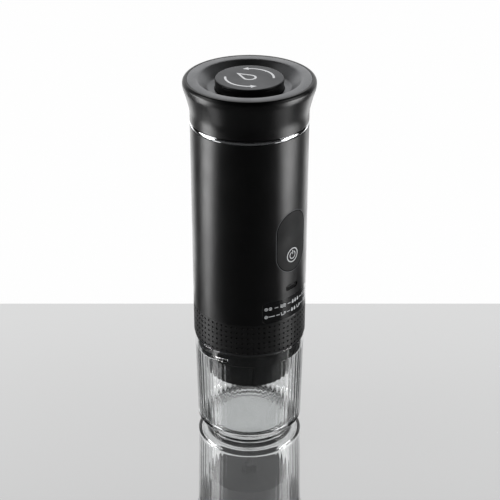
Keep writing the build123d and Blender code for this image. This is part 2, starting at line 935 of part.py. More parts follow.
with BuildPart() as water_tank:
    revolve(section(0, tank_radius, tank_bottom, tank_top), axis=Axis.Z)
    revolve(
        section(tank_radius, collar_outer - thread_clearance, tank_top - tank_flange_thickness, tank_top),
        axis=Axis.Z,
    )
    revolve(section(0, barb_radius, tank_nozzle_bottom, tank_bottom), axis=Axis.Z)
    revolve(
        section(0, tank_radius - tank_wall, tank_bottom + tank_floor, tank_top),
        axis=Axis.Z,
        mode=Mode.SUBTRACT,
    )
    revolve(section(0, barb_bore, tank_nozzle_bottom, tank_top), axis=Axis.Z, mode=Mode.SUBTRACT)
water_tank.part.label = "water_tank"
export_step(water_tank.part, "parts/water_tank.step")

heater_bottom = tank_bottom + heater_rise
heater_top = tank_top - heater_drop
with BuildPart() as heater_band:
    revolve(
        section(tank_radius, tank_radius + heater_thickness, heater_bottom, heater_top),
        axis=Axis.Z,
    )
heater_band.part.label = "heater_band"
export_step(heater_band.part, "parts/heater_band.step")

with BuildPart() as temperature_sensor:
    with BuildSketch(Plane.XY.offset(tank_bottom)):
        with Locations((sensor_circle_radius, 0)):
            Circle(sensor_radius)
    extrude(amount=-sensor_height)
temperature_sensor.part.label = "temperature_sensor"
export_step(temperature_sensor.part, "parts/temperature_sensor.step")

with BuildPart() as tank_gasket:
    revolve(
        section(tank_radius, collar_outer - thread_clearance, tank_top, collar_bottom),
        axis=Axis.Z,
    )
tank_gasket.part.label = "tank_gasket"
export_step(tank_gasket.part, "parts/tank_gasket.step")

collar_rib_start = collar_top - collar_rib_drop
collar_rib = thread_rib(collar_bore, collar_crest, collar_rib_start)
with BuildPart() as tank_collar:
    revolve(section(collar_bore, collar_outer, collar_bottom, collar_top), axis=Axis.Z)
    with PolarLocations(0, thread_starts):
        add(collar_rib)
tank_collar.part.label = "tank_collar"
export_step(tank_collar.part, "parts/tank_collar.step")

# ---------------------------------------------------------------- Outer shell, panel and label

label_width = 2 * body_radius * sin(radians(label_half_angle))
label_centre = shell_bottom + label_above_band + label_height / 2


def stadium(width, height, centre):
    """Upright stadium on the front plane."""
    with BuildSketch(front_plane) as face:
        with Locations((0, centre)):
            SlotOverall(height, width, rotation=90)
    return face.sketch


with BuildSketch(front_plane) as label_face:
    with Locations((0, label_centre)):
        RectangleRounded(label_width, label_height, label_corner)

with BuildSketch(front_plane) as usb_face:
    with Locations((0, usb_centre)):
        SlotOverall(usb_slot_width, usb_slot_height)

with BuildPart() as body_shell:
    revolve(section(shell_inner, body_radius, shell_bottom, shell_top), axis=Axis.Z)
    panel_opening = stadium(panel_width + 2 * seam_gap, panel_height + 2 * seam_gap, panel_centre)
    extrude(panel_opening, amount=-front_reach, mode=Mode.SUBTRACT)
    extrude(usb_face.sketch, amount=-front_reach, mode=Mode.SUBTRACT)
    label_pocket = wrapped(label_face.sketch, body_radius - label_thickness, front_reach)
    add(label_pocket, mode=Mode.SUBTRACT)
body_shell.part.label = "body_shell"
export_step(body_shell.part, "parts/body_shell.step")

with BuildPart() as info_label:
    add(wrapped(label_face.sketch, body_radius - label_thickness, body_radius))
info_label.part.label = "info_label"
export_step(info_label.part, "parts/info_label.step")

with BuildSketch(front_plane) as button_opening:
    with Locations((0, button_centre)):
        Circle(button_radius + seam_gap)

with BuildPart() as control_panel:
    panel_face = stadium(panel_width, panel_height, panel_centre)
    add(wrapped(panel_face, body_radius - panel_thickness, body_radius))
    extrude(button_opening.sketch, amount=-front_reach, mode=Mode.SUBTRACT)
control_panel.part.label = "control_panel"
export_step(control_panel.part, "parts/control_panel.step")

with BuildPart() as trim_ring:
    revolve(section(collar_outer + small_gap, body_radius, shell_top, trim_top), axis=Axis.Z)
trim_ring.part.label = "trim_ring"
export_step(trim_ring.part, "parts/trim_ring.step")

# ---------------------------------------------------------------- Power button

with BuildSketch(front_plane) as symbol:
    with Locations((0, button_centre)):
        Circle(symbol_ring_radius)
        Circle(symbol_ring_radius - symbol_line, mode=Mode.SUBTRACT)
        Circle(glyph_radius)
        Circle(glyph_radius - glyph_line, mode=Mode.SUBTRACT)
        with Locations((0, glyph_radius)):
            Rectangle(glyph_gap_width, glyph_radius, mode=Mode.SUBTRACT)
        with Locations((0, glyph_stroke_rise)):
            Rectangle(glyph_line, glyph_radius)

with BuildPart() as button_light_guide:
    add(wrapped(symbol.sketch, body_radius - symbol_depth, body_radius))
button_light_guide.part.label = "button_light_guide"
export_step(button_light_guide.part, "parts/button_light_guide.step")

button_back = body_radius - button_thickness
flange_back = button_back - button_flange_thickness
stem_tip = board_front + tact_height + tact_travel_gap
with BuildPart() as power_button:
    with BuildSketch(Plane.XZ.offset(flange_back)):
        with Locations((0, button_centre)):
            Circle(button_radius)
    extrude(amount=front_reach - flange_back)
    revolve(section(0, body_radius, 0, cap_top), axis=Axis.Z, mode=Mode.INTERSECT)
    add(wrapped(symbol.sketch, body_radius - symbol_depth, front_reach), mode=Mode.SUBTRACT)
    with BuildSketch(Plane.XZ.offset(flange_back)):
        with Locations((0, button_centre)):
            Circle(button_flange_radius)
    extrude(amount=button_flange_thickness)
    with BuildSketch(Plane.XZ.offset(stem_tip)):
        with Locations((0, button_centre)):
            Circle(button_stem_radius)
    extrude(amount=flange_back - stem_tip)
power_button.part.label = "power_button"
export_step(power_button.part, "parts/power_button.step")

# ---------------------------------------------------------------- Screw cap

inner_ledge_bottom = cap_bottom + plug_flange_thickness
inner_ledge_top = inner_ledge_bottom + cap_inner_ledge_thickness
cap_inner = body_radius - cap_wall + small_gap
cap_plate_bottom = cap_top - cap_plate_thickness
cap_plate_radius = cap_rim_radius - cap_rim_width
cap_flare = cap_rim_radius - body_radius
ledge_radius = cap_plate_radius + small_gap
flare_top = cap_top - cap_rim_drop
flare_inner = cap_rim_radius - cap_wall - cap_flare_margin
cap_screw_circle = cap_inner - cap_inner_ledge_width / 2

with BuildPart() as cap_shell:
    with BuildSketch(Plane.XZ):
        with BuildLine():
            Line((body_radius, cap_bottom), (body_radius, cap_bottom + cap_straight))
            Spline(
                (body_radius, cap_bottom + cap_straight),
                (body_radius + cap_flare_share * cap_flare, cap_bottom + cap_flare_height),
                (body_radius + cap_shoulder_share * cap_flare, cap_bottom + cap_shoulder_height),
                (cap_rim_radius, flare_top),
                tangents=((0, 1), (0, 1)),
            )
            rim_end = (cap_rim_radius - cap_rim_inset, cap_top)
            rim = TangentArc((cap_rim_radius, flare_top), rim_end, tangent=(0, 1))
            Polyline(
                rim @ 1,
                (ledge_radius, cap_top),
                (ledge_radius, cap_plate_bottom),
                (ledge_radius - cap_ledge_width, cap_plate_bottom),
                (ledge_radius - cap_ledge_width, cap_plate_bottom - cap_ledge_width),
                (flare_inner, cap_plate_bottom - 2 * cap_ledge_width),
                (cap_inner, inner_ledge_top),
                (cap_inner - cap_inner_ledge_width, inner_ledge_top),
                (cap_inner - cap_inner_ledge_width, inner_ledge_bottom),
                (cap_inner, inner_ledge_bottom),
                (cap_inner, cap_bottom),
                (body_radius, cap_bottom),
            )
        make_face()
    revolve(axis=Axis.Z)
    with BuildSketch(Plane.XY.offset(inner_ledge_bottom)):
        with PolarLocations(cap_screw_circle, cap_screw_count, start_angle=front_angle):
            Circle(m2_radius + screw_hole_gap)
    extrude(amount=cap_inner_ledge_thickness, mode=Mode.SUBTRACT)
cap_shell.part.label = "cap_shell"
export_step(cap_shell.part, "parts/cap_shell.step")

dish_floor = cap_top - dish_depth
dish_rim_radius = cap_plate_radius - dish_border
knob_hole = knob_radius + knob_clearance
dish_floor_radius = knob_radius + dish_floor_width
with BuildPart() as cap_top_plate:
    revolve(
        outline(
            (cap_plate_radius, cap_top),
            (dish_rim_radius, cap_top),
            (dish_floor_radius, dish_floor),
            (knob_hole, dish_floor),
            (knob_hole, dish_floor - cap_plate_thickness),
            (dish_floor_radius + dish_wall_offset, dish_floor - cap_plate_thickness),
            (dish_rim_radius + dish_wall_offset, cap_plate_bottom),
            (cap_plate_radius, cap_plate_bottom),
        ),
        axis=Axis.Z,
    )
cap_top_plate.part.label = "cap_top_plate"
export_step(cap_top_plate.part, "parts/cap_top_plate.step")

plug_bottom = cap_bottom - plug_depth
plug_floor_top = plug_bottom + plug_floor
guide_top = plug_floor_top + guide_height
stem_bore = stem_radius + stem_clearance
vent_hole_circle_radius = stem_bore + guide_wall + vent_hole_margin
plug_rib_start = collar_rib_start - thread_lead / thread_starts / 2
plug_rib = thread_rib(plug_radius, plug_radius + thread_depth, plug_rib_start)
cap_screw_length = cap_inner_ledge_thickness + cap_screw_bite
with BuildPart() as cap_plug:
    revolve(section(plug_radius - plug_wall, plug_radius, plug_bottom, inner_ledge_bottom), axis=Axis.Z)
    revolve(
        section(plug_radius - plug_wall, cap_inner - small_gap, cap_bottom, inner_ledge_bottom),
        axis=Axis.Z,
    )
    revolve(section(stem_bore, plug_radius, plug_bottom, plug_floor_top), axis=Axis.Z)
    revolve(section(stem_bore, stem_bore + guide_wall, plug_floor_top, guide_top), axis=Axis.Z)
    with BuildSketch(Plane.XY.offset(plug_bottom)):
        with PolarLocations(vent_hole_circle_radius, vent_hole_count):
            Circle(vent_hole_radius)
    extrude(amount=plug_floor, mode=Mode.SUBTRACT)
    with BuildSketch(Plane.XY.offset(inner_ledge_bottom)):
        with PolarLocations(cap_screw_circle, cap_screw_count, start_angle=front_angle):
            Circle(m2_radius + screw_hole_gap)
    extrude(amount=-(cap_screw_bite + screw_end_gap), mode=Mode.SUBTRACT)
    with PolarLocations(0, thread_starts):
        add(plug_rib)
cap_plug.part.label = "cap_plug"
export_step(cap_plug.part, "parts/cap_plug.step")

with BuildPart() as cap_screws:
    with Locations((0, 0, inner_ledge_top)):
        with PolarLocations(cap_screw_circle, cap_screw_count, start_angle=front_angle):
            add(screw(m2_radius, m2_head_radius, m2_head_height, cap_screw_length))
cap_screws.part.label = "cap_screws"
export_step(cap_screws.part, "parts/cap_screws.step")

with BuildPart() as cap_gasket:
    revolve(
        section(collar_bore + small_gap, collar_outer - small_gap, collar_top, cap_bottom - small_gap),
        axis=Axis.Z,
    )
cap_gasket.part.label = "cap_gasket"
export_step(cap_gasket.part, "parts/cap_gasket.step")

# ---------------------------------------------------------------- Vent button and valve

knob_top = cap_top + knob_proud
knob_underside = knob_top - knob_top_thickness
flange_top = dish_floor - cap_plate_thickness - knob_flange_gap
flange_bottom = flange_top - knob_flange_thickness
valve_top = plug_bottom - small_gap
valve_bottom = valve_top - valve_thickness
clip_bottom = valve_bottom - clip_thickness
pin_bottom = clip_bottom - clip_thickness
drop_shoulder = drop_radius**2 / drop_height
drop_side = sqrt(drop_radius**2 - drop_shoulder**2)

with BuildSketch() as turn_mark:
    SlotArc(CenterArc((0, 0), arrow_radius, 0, arrow_arc, mode=Mode.PRIVATE), badge_line)
    with PolarLocations(arrow_radius, 1, start_angle=arrow_arc):
        RegularPolygon(arrow_head, 3, rotation=90)

with BuildSketch(Plane.XY.offset(knob_top)) as badge_face:
    Circle(drop_radius)
    with BuildLine():
        Polyline((-drop_side, drop_shoulder), (0, drop_height), (drop_side, drop_shoulder), close=True)
    make_face()
    offset(amount=-badge_line, mode=Mode.SUBTRACT)
    with PolarLocations(0, 2, start_angle=-arrow_arc / 2):
        add(turn_mark.sketch)

with BuildPart() as vent_badge:
    extrude(badge_face.sketch, amount=-badge_depth)
vent_badge.part.label = "vent_badge"
export_step(vent_badge.part, "parts/vent_badge.step")

with BuildPart() as vent_button:
    revolve(section(0, knob_radius, knob_underside, knob_top), axis=Axis.Z)
    chamfer(vent_button.edges().group_by(Axis.Z)[-1], knob_chamfer)
    revolve(section(knob_radius - knob_wall, knob_radius, flange_bottom, knob_underside), axis=Axis.Z)
    revolve(
        section(knob_radius - knob_wall, knob_radius + knob_flange_width, flange_bottom, flange_top),
        axis=Axis.Z,
    )
    groove_top = knob_top - knob_groove_drop
    revolve(
        section(knob_radius - knob_groove_depth, body_radius, groove_top - knob_groove_depth, groove_top),
        axis=Axis.Z,
        mode=Mode.SUBTRACT,
    )
    revolve(section(0, stem_radius, valve_top, knob_underside), axis=Axis.Z)
    revolve(section(0, pin_radius, pin_bottom, valve_top), axis=Axis.Z)
    add(vent_badge.part, mode=Mode.SUBTRACT)
vent_button.part.label = "vent_button"
export_step(vent_button.part, "parts/vent_button.step")

with BuildPart() as vent_spring:
    add(coil_spring(vent_spring_radius, guide_top, knob_underside, vent_spring_turns))
vent_spring.part.label = "vent_spring"
export_step(vent_spring.part, "parts/vent_spring.step")

with BuildPart() as vent_valve:
    revolve(section(pin_radius, valve_radius, valve_bottom, valve_top), axis=Axis.Z)
vent_valve.part.label = "vent_valve"
export_step(vent_valve.part, "parts/vent_valve.step")

with BuildPart() as vent_clip:
    revolve(section(pin_radius, clip_radius, clip_bottom, valve_bottom), axis=Axis.Z)
vent_clip.part.label = "vent_clip"
export_step(vent_clip.part, "parts/vent_clip.step")
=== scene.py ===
import bmesh
import bpy
import json
from math import atan2, cos, hypot, pi, radians, sin, sqrt
from mathutils import Matrix, Vector


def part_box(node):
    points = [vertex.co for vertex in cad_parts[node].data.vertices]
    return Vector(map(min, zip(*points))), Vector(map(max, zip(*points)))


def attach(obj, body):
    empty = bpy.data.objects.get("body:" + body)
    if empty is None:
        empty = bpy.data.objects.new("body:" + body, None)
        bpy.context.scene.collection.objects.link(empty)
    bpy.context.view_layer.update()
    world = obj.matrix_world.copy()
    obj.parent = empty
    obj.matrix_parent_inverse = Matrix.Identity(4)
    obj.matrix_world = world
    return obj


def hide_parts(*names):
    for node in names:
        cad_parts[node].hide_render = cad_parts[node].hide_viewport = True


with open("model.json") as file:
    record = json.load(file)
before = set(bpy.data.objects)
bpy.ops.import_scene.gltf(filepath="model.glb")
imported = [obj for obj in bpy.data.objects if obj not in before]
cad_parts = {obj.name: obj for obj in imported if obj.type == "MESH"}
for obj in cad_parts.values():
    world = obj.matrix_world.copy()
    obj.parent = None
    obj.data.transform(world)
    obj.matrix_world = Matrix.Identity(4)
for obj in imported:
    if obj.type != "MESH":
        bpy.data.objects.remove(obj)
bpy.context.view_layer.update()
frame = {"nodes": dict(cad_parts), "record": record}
nodes = frame["nodes"]

MM = 0.001

# ---------------------------------------------------------------- Sizes shared with the solids, in mm


def heights(node):
    """Lowest and highest point of a CAD node."""
    low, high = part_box(node)
    return low.z / MM, high.z / MM


TUBE_RADIUS = 35.0
NECK_RADIUS = 31.8
BAND_BOTTOM, BAND_TOP = heights("grip_band")
RING_BOTTOM, RING_TOP = heights("trim_ring")
LABEL_BOTTOM, LABEL_TOP = heights("info_label")
PANEL_BOTTOM, PANEL_TOP = heights("control_panel")
PLATE_BOTTOM, PLATE_TOP = heights("cap_top_plate")
PLATE_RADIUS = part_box("cap_top_plate")[1].x / MM
KNOB_BOTTOM, KNOB_TOP = heights("vent_button")

# ---------------------------------------------------------------- Camera, in mm

VIEW_TURN = radians(-47.3)
VIEW_RISE = radians(28.45)
VIEW_DISTANCE = 838.0
VIEW_LENS = 98.14
VIEW_SENSOR = 36
VIEW_SHIFT = 0.001
VIEW_TARGET = Vector((0, 0, 124.4))
BACKWARD = Vector((sin(VIEW_TURN), -cos(VIEW_TURN), 0))
SIDEWAYS = Vector((cos(VIEW_TURN), sin(VIEW_TURN), 0))


def add_object(name, data):
    """Links new data to the scene as an object at the origin."""
    made = bpy.data.objects.new(name, data)
    bpy.context.scene.collection.objects.link(made)
    return made


camera = add_object("camera", bpy.data.cameras.new("camera"))
camera.data.lens = VIEW_LENS
camera.data.sensor_width = VIEW_SENSOR
camera.data.shift_x = VIEW_SHIFT
camera.data.clip_start = 0.01
eye = VIEW_TARGET + VIEW_DISTANCE * (BACKWARD * cos(VIEW_RISE) + Vector((0, 0, sin(VIEW_RISE))))
camera.location = eye * MM
camera.rotation_euler = (VIEW_TARGET - eye).to_track_quat("-Z", "Y").to_euler()
bpy.context.scene.camera = camera
bpy.context.scene.view_settings.view_transform = "Standard"

# ---------------------------------------------------------------- Nodes and colours


def linear(code):
    """Scene-linear colour of an sRGB hex value."""
    parts = [int(code[i : i + 2], 16) / 255 for i in (1, 3, 5)]
    return [p / 12.92 if p <= 0.04045 else ((p + 0.055) / 1.055) ** 2.4 for p in parts] + [1.0]


def add_node(tree, kind, settings=None, **links):
    """Adds a node. Settings go to its own fields, and links to its sockets, as values or other sockets."""
    made = tree.nodes.new(kind)
    for field, value in (settings or {}).items():
        setattr(made, field, value)
    for socket, value in links.items():
        key = int(socket[1:]) if socket[0] == "_" else socket.replace("_", " ")
        if isinstance(value, bpy.types.NodeSocket):
            tree.links.new(value, made.inputs[key])
        else:
            made.inputs[key].default_value = value
    return made


def new_material(name):
    """Empty named material, with its node tree."""
    material = bpy.data.materials.new(name)
    material.use_nodes = True
    return material, material.node_tree


# ---------------------------------------------------------------- Lamps, in metres

LAMP_DISTANCE = 0.70
LAMP_AIM = 0.6


def soft_box(name, turn, rise, width, height, radiance):
    """Area lamp that stands round the maker at an angle from the camera's side and faces it."""
    lamp = add_object(name, bpy.data.lights.new(name, "AREA"))
    lamp.data.shape = "RECTANGLE"
    lamp.data.size = width
    lamp.data.size_y = height
    lamp.data.energy = radiance * pi * width * height
    way = BACKWARD * cos(radians(turn)) + SIDEWAYS * sin(radians(turn))
    place = way * LAMP_DISTANCE + Vector((0, 0, rise))
    lamp.location = place
    lamp.rotation_euler = (Vector((0, 0, rise * LAMP_AIM)) - place).to_track_quat("-Z", "Z").to_euler()
    lamp.visible_camera = False


# The strips draw the long light bands of the tube. The upper lamps light the cap, and the rim lamps
# stand below the table's level and behind, so that they edge the outline.
for lamp_row in (
    ("left_strip", -84, 0.07, 0.50, 0.25, 9.4),
    ("right_strip", 81, 0.07, 0.42, 0.25, 9.0),
    ("left_upper", -84, 0.62, 0.50, 0.24, 2.7),
    ("right_upper", 81, 0.62, 0.42, 0.24, 2.7),
    ("left_rim", -151, -0.32, 0.40, 0.56, 1.1),
    ("right_rim", 151, -0.32, 0.40, 0.56, 1.1),
):
    soft_box(*lamp_row)

# ---------------------------------------------------------------- World

WHITE_LEVEL = 0.992
FILL_LEVEL = 0.45
FRONT_LEVEL = 0.005
BEHIND_START = -0.60
BEHIND_FULL = -0.74
FALL_START = 0.512
FALL_END = 0.627
FALL_LEVEL = 0.853

world = bpy.data.worlds.new("white_studio")
bpy.context.scene.world = world
world.use_nodes = True
sky = world.node_tree
sky.nodes.clear()
path = add_node(sky, "ShaderNodeLightPath").outputs
ray = add_node(sky, "ShaderNodeTexCoord").outputs["Generated"]

# Polished faces mirror the white that lies behind the maker, and a trace of the rest at the first bounce
along = add_node(
    sky, "ShaderNodeVectorMath", {"operation": "DOT_PRODUCT"}, _0=ray, _1=BACKWARD
).outputs["Value"]
behind = add_node(
    sky, "ShaderNodeMapRange", {"interpolation_type": "SMOOTHSTEP"},
    Value=along, From_Min=BEHIND_START, From_Max=BEHIND_FULL, To_Min=0.0, To_Max=1.0,
).outputs["Result"]
trace = add_node(
    sky, "ShaderNodeMapRange",
    Value=path["Glossy Depth"], From_Min=1.0, From_Max=2.0, To_Min=FRONT_LEVEL, To_Max=0.0,
).outputs["Result"]
shown = add_node(sky, "ShaderNodeMath", {"operation": "MAXIMUM"}, _0=behind, _1=trace).outputs[0]

# The mirrored white falls off towards the top
upward = add_node(sky, "ShaderNodeSeparateXYZ", Vector=ray).outputs["Z"]
falling = add_node(
    sky, "ShaderNodeMapRange",
    Value=upward, From_Min=FALL_START, From_Max=FALL_END, To_Min=1.0, To_Max=FALL_LEVEL,
).outputs["Result"]
faded = add_node(sky, "ShaderNodeMath", {"operation": "MULTIPLY"}, _0=shown, _1=falling).outputs[0]
mirrored = add_node(
    sky, "ShaderNodeMath", {"operation": "MULTIPLY"}, _0=path["Is Glossy Ray"], _1=faded
).outputs[0]

# The camera sees plain white, also through clear plastic, and matt faces get an even fill
seen = add_node(
    sky, "ShaderNodeMath", {"operation": "MAXIMUM"},
    _0=path["Is Camera Ray"], _1=path["Is Transmission Ray"],
).outputs[0]
white = add_node(sky, "ShaderNodeMath", {"operation": "MAXIMUM"}, _0=seen, _1=mirrored).outputs[0]
fill = add_node(
    sky, "ShaderNodeMath", {"operation": "MULTIPLY"}, _0=path["Is Diffuse Ray"], _1=FILL_LEVEL
).outputs[0]
level = add_node(
    sky, "ShaderNodeMath", {"operation": "MULTIPLY_ADD"}, _0=white, _1=WHITE_LEVEL, _2=fill
).outputs[0]
backdrop = add_node(sky, "ShaderNodeBackground", Color=linear("#FFFFFF"), Strength=level)
add_node(sky, "ShaderNodeOutputWorld", Surface=backdrop.outputs[0])

# ---------------------------------------------------------------- Finishes, with sizes in mm

# Nearly all of a noise lies in this middle stretch of its values
NOISE_STRETCH = {"From_Min": 0.3, "From_Max": 0.7}
BROAD_GRAIN = 14.0
CUP_RIPPLE = 9.0
CUP_RIPPLE_HEIGHT = 0.02
ROUGHNESS_SWING = 0.1


def grain(tree, size, detail=2.0):
    """Noise with features of a real size, on object coordinates."""
    place = add_node(tree, "ShaderNodeTexCoord").outputs["Object"]
    return add_node(
        tree, "ShaderNodeTexNoise", Vector=place, Scale=1 / (size * MM), Detail=detail
    ).outputs["Fac"]


def finish(name, colour, roughness, grain_size=0.6, relief=0.02, mottle=0.08, edge=0.25, **sockets):
    """Principled finish whose colour and roughness vary a little, with a fine relief and eased edges."""
    material, tree = new_material(name)
    shader = tree.nodes["Principled BSDF"]
    fine = grain(tree, grain_size)
    broad = grain(tree, BROAD_GRAIN, 3.0)
    tone = linear(colour)
    darker = [c * (1 - mottle) for c in tone[:3]] + [1.0]
    lighter = [min(1.0, c * (1 + mottle)) for c in tone[:3]] + [1.0]
    share = add_node(
        tree, "ShaderNodeMapRange", Value=fine, To_Min=0.0, To_Max=1.0, **NOISE_STRETCH
    ).outputs["Result"]
    blend = add_node(tree, "ShaderNodeMix", {"data_type": "RGBA"}, Factor=share, _6=darker, _7=lighter)
    tree.links.new(blend.outputs[2], shader.inputs["Base Color"])
    dullness = add_node(
        tree, "ShaderNodeMapRange", Value=broad, **NOISE_STRETCH,
        To_Min=roughness * (1 - ROUGHNESS_SWING), To_Max=roughness * (1 + ROUGHNESS_SWING),
    ).outputs["Result"]
    tree.links.new(dullness, shader.inputs["Roughness"])
    eased = add_node(tree, "ShaderNodeBevel", {"samples": 6}, Radius=edge * MM).outputs[0]
    bump = add_node(
        tree, "ShaderNodeBump", Height=fine, Distance=relief * MM, Strength=1.0, Normal=eased
    )
    tree.links.new(bump.outputs[0], shader.inputs["Normal"])
    for socket, value in sockets.items():
        shader.inputs[socket.replace("_", " ")].default_value = value
    return material


def clear_cup_plastic():
    """Copolyester, injection moulded: clear with polished faces, so it bends what lies behind it."""
    material, tree = new_material("moulded_clear_copolyester")
    shader = tree.nodes["Principled BSDF"]
    shader.inputs["Base Color"].default_value = linear("#F6F7F7")
    shader.inputs["Roughness"].default_value = 0.02
    shader.inputs["IOR"].default_value = 1.55
    shader.inputs["Transmission Weight"].default_value = 1.0
    ripple = grain(tree, CUP_RIPPLE, 1.0)
    bump = add_node(tree, "ShaderNodeBump", Height=ripple, Distance=CUP_RIPPLE_HEIGHT * MM)
    tree.links.new(bump.outputs[0], shader.inputs["Normal"])
    return material


finishes = {
    # ABS, moulded in a spark-eroded tool: jet black with a satin skin
    "matte_black": finish("satin_black_abs", "#010102", 0.33, relief=0.004),
    # Nylon, moulded: black and a little duller
    "black_plastic": finish("moulded_black_nylon", "#050506", 0.38, relief=0.006),
    # Silicone rubber, moulded: dull and a little paler than the tube
    "grip_rubber": finish("moulded_grip_rubber", "#070708", 0.46, relief=0.01, edge=0.1),
    # Soft-touch lacquer on ABS: dark grey and dull
    "panel_soft": finish("soft_touch_lacquer", "#0C0D0E", 0.60, relief=0.004, Specular_IOR_Level=0.35),
    # ABS plated with chromium: a clean mirror
    "chrome": finish("plated_chrome", "#E6E7E9", 0.10, relief=0.0, mottle=0.0, Metallic=1.0),
    # Aluminium, bead blasted and anodised grey: fine and even, with soft highlights
    "grey_cap": finish(
        "anodised_grey_aluminium", "#909193", 0.42, grain_size=0.5, relief=0.006, mottle=0.1, Metallic=1.0
    ),
    # The same, anodised darker
    "knob_grey": finish(
        "anodised_dark_aluminium", "#5A5B5D", 0.40, grain_size=0.5, relief=0.005, mottle=0.1, Metallic=1.0
    ),
    # Aluminium inlay, diamond cut: pale and bright
    "silver": finish(
        "diamond_cut_aluminium", "#D6D7D9", 0.25, relief=0.002, mottle=0.03, edge=0.05, Metallic=1.0
    ),
    # Stainless steel, brushed: grey with a dull shine
    "stainless": finish("brushed_stainless_steel", "#B4B5B7", 0.30, relief=0.004, mottle=0.06, Metallic=1.0),
    # Copper wire, enamelled: red brown with a varnished shine
    "copper": finish("enamelled_copper_wire", "#B4633A", 0.35, relief=0.01, Metallic=1.0),
    # Silicone rubber without pigment, moulded: milky and dull
    "silicone": finish("moulded_clear_silicone", "#D9DAD6", 0.45, relief=0.006),
    # Silicone rubber, pigmented and moulded: dark grey and dull
    "silicone_dark": finish("moulded_dark_silicone", "#26272A", 0.5, relief=0.006),
    # PVC sleeve, heat shrunk: blue with a smooth skin
    "cell_wrap": finish("heat_shrink_wrap", "#2C5A8C", 0.35, relief=0.01),
    # Nickel, plated: warm grey and bright
    "nickel": finish("plated_nickel", "#C4C0B4", 0.28, relief=0.002, mottle=0.04, Metallic=1.0),
    # Solder mask, screened on glass epoxy: green and glossy
    "board_green": finish("solder_mask_on_glass_epoxy", "#1D5B36", 0.35, relief=0.004),
    # Epoxy, moulded round a chip: near black and dull
    "chip_black": finish("moulded_epoxy", "#1A1A1B", 0.55, relief=0.006),
    # Acrylic, moulded with a frosted face: pale grey
    "light_guide": finish("frosted_acrylic", "#C9CBCD", 0.4, relief=0.002, mottle=0.02, edge=0.05),
    # Polyester film, printed black and clear coated: smooth and glossy
    "label_film": finish("clear_coated_black_film", "#0A0A0B", 0.22, relief=0.002, edge=0.05),
    # Polyimide film, laminated round its heating track: amber
    "heater_film": finish("polyimide_heater_film", "#A8641C", 0.35, relief=0.01),
    # Steel, zinc plated: pale and a little blue
    "zinc_steel": finish("zinc_plated_steel", "#A9ACB0", 0.35, relief=0.004, mottle=0.05, Metallic=1.0),
    "clear_plastic": clear_cup_plastic(),
}
# Stainless steel, coloured dark as painted shade: the socket of the charging port lies in shade
socket_painted_shade = finish("steel_painted_port_shade", "#1A1A1B", 0.45, relief=0.002)
# Painted shade: black without a highlight, a flat strip that stands in for the shade in the gap round the
# control panel
finishes["gap_shade"] = finish("black_painted_gap_shade", "#010101", 0.9, relief=0.0, Specular_IOR_Level=0.05)
# Painted highlight: black ABS coloured pale along the eased edge round the control panel, where light
# catches that edge
finishes["painted_edge_highlight"] = finish("black_abs_painted_edge_highlight", "#4C4E51", 0.5, relief=0.0)

# The socket of the charging port gets the painted shade in place of its own finish
for entry in frame["record"]["subparts"]:
    node = nodes[entry["node"]]
    for slot in node.material_slots:
        slot.material = socket_painted_shade if entry["node"] == "usb_socket" else finishes[entry["material_slot"]]

# ---------------------------------------------------------------- Ways to make a piece

# Closer than this, two places on a turned piece are the same
SAME_PLACE = 0.01 * MM
# Room in a test of where a face lies, in mm
SLACK = 0.1


def turned(profile, steps=192):
    """Solid of revolution round the axis from a closed loop of (radius, height) points in mm."""
    mesh = bmesh.new()
    dots = [mesh.verts.new((radius * MM, 0, height * MM)) for radius, height in profile]
    for here, there in zip(dots, dots[1:] + dots[:1]):
        mesh.edges.new((here, there))
    bmesh.ops.spin(
        mesh, geom=mesh.verts[:] + mesh.edges[:], cent=(0, 0, 0), axis=(0, 0, 1), dvec=(0, 0, 0),
        angle=2 * pi, steps=steps, use_merge=True, use_normal_flip=False, use_duplicate=False,
    )
    bmesh.ops.remove_doubles(mesh, verts=mesh.verts, dist=0.001 * MM)
    bmesh.ops.delete(mesh, geom=[e for e in mesh.edges if not e.link_faces], context="EDGES")
    bmesh.ops.recalc_face_normals(mesh, faces=mesh.faces)
    return mesh


def arc(across, up, radius, first, last, steps):
    """Points of an arc in the plane of a profile, between two angles in degrees."""
    turns = [radians(first + (last - first) * step / steps) for step in range(steps + 1)]
    return [(across + radius * cos(turn), up + radius * sin(turn)) for turn in turns]


def held(profile, margin=0.15):
    """Adds points close to both ends of each long line, so that smooth shading stays true between them."""
    made = []
    for here, there in zip(profile, profile[1:] + profile[:1]):
        made.append(here)
        length = hypot(there[0] - here[0], there[1] - here[1])
        if length > 4 * margin:
            for share in (margin / length, 1 - margin / length):
                across = here[0] + (there[0] - here[0]) * share
                up = here[1] + (there[1] - here[1]) * share
                made.append((across, up))
    return made


def ease(mesh, radius, height, width, segments=4):
    """Rounds the ring edge at one radius and height."""
    on_ring = {
        v for v in mesh.verts
        if abs(hypot(v.co.x, v.co.y) - radius * MM) < SAME_PLACE
        and abs(v.co.z - height * MM) < SAME_PLACE
    }
    bmesh.ops.bevel(
        mesh, geom=[e for e in mesh.edges if on_ring.issuperset(e.verts)], offset=width * MM,
        offset_type="OFFSET", segments=segments, profile=0.5, affect="EDGES", material=-1,
        clamp_overlap=False,
    )


def on_tube(across, height, proud):
    """Place on the tube, from a distance along its skin from the front, in mm."""
    angle = across / TUBE_RADIUS
    reach = TUBE_RADIUS + proud
    return Vector((reach * sin(angle), -reach * cos(angle), height)) * MM


def fade(low, high, value):
    """Smooth step from 0 at low to 1 at high."""
    share = min(1.0, max(0.0, (value - low) / (high - low)))
    return share * share * (3 - 2 * share)


def verts_of(geom):
    """The vertices among the geometry that an operator returns."""
    return [item for item in geom if isinstance(item, bmesh.types.BMVert)]


def edges_round(dots):
    """The edges that touch some vertices, each once."""
    return list({e for v in dots for e in v.link_edges})


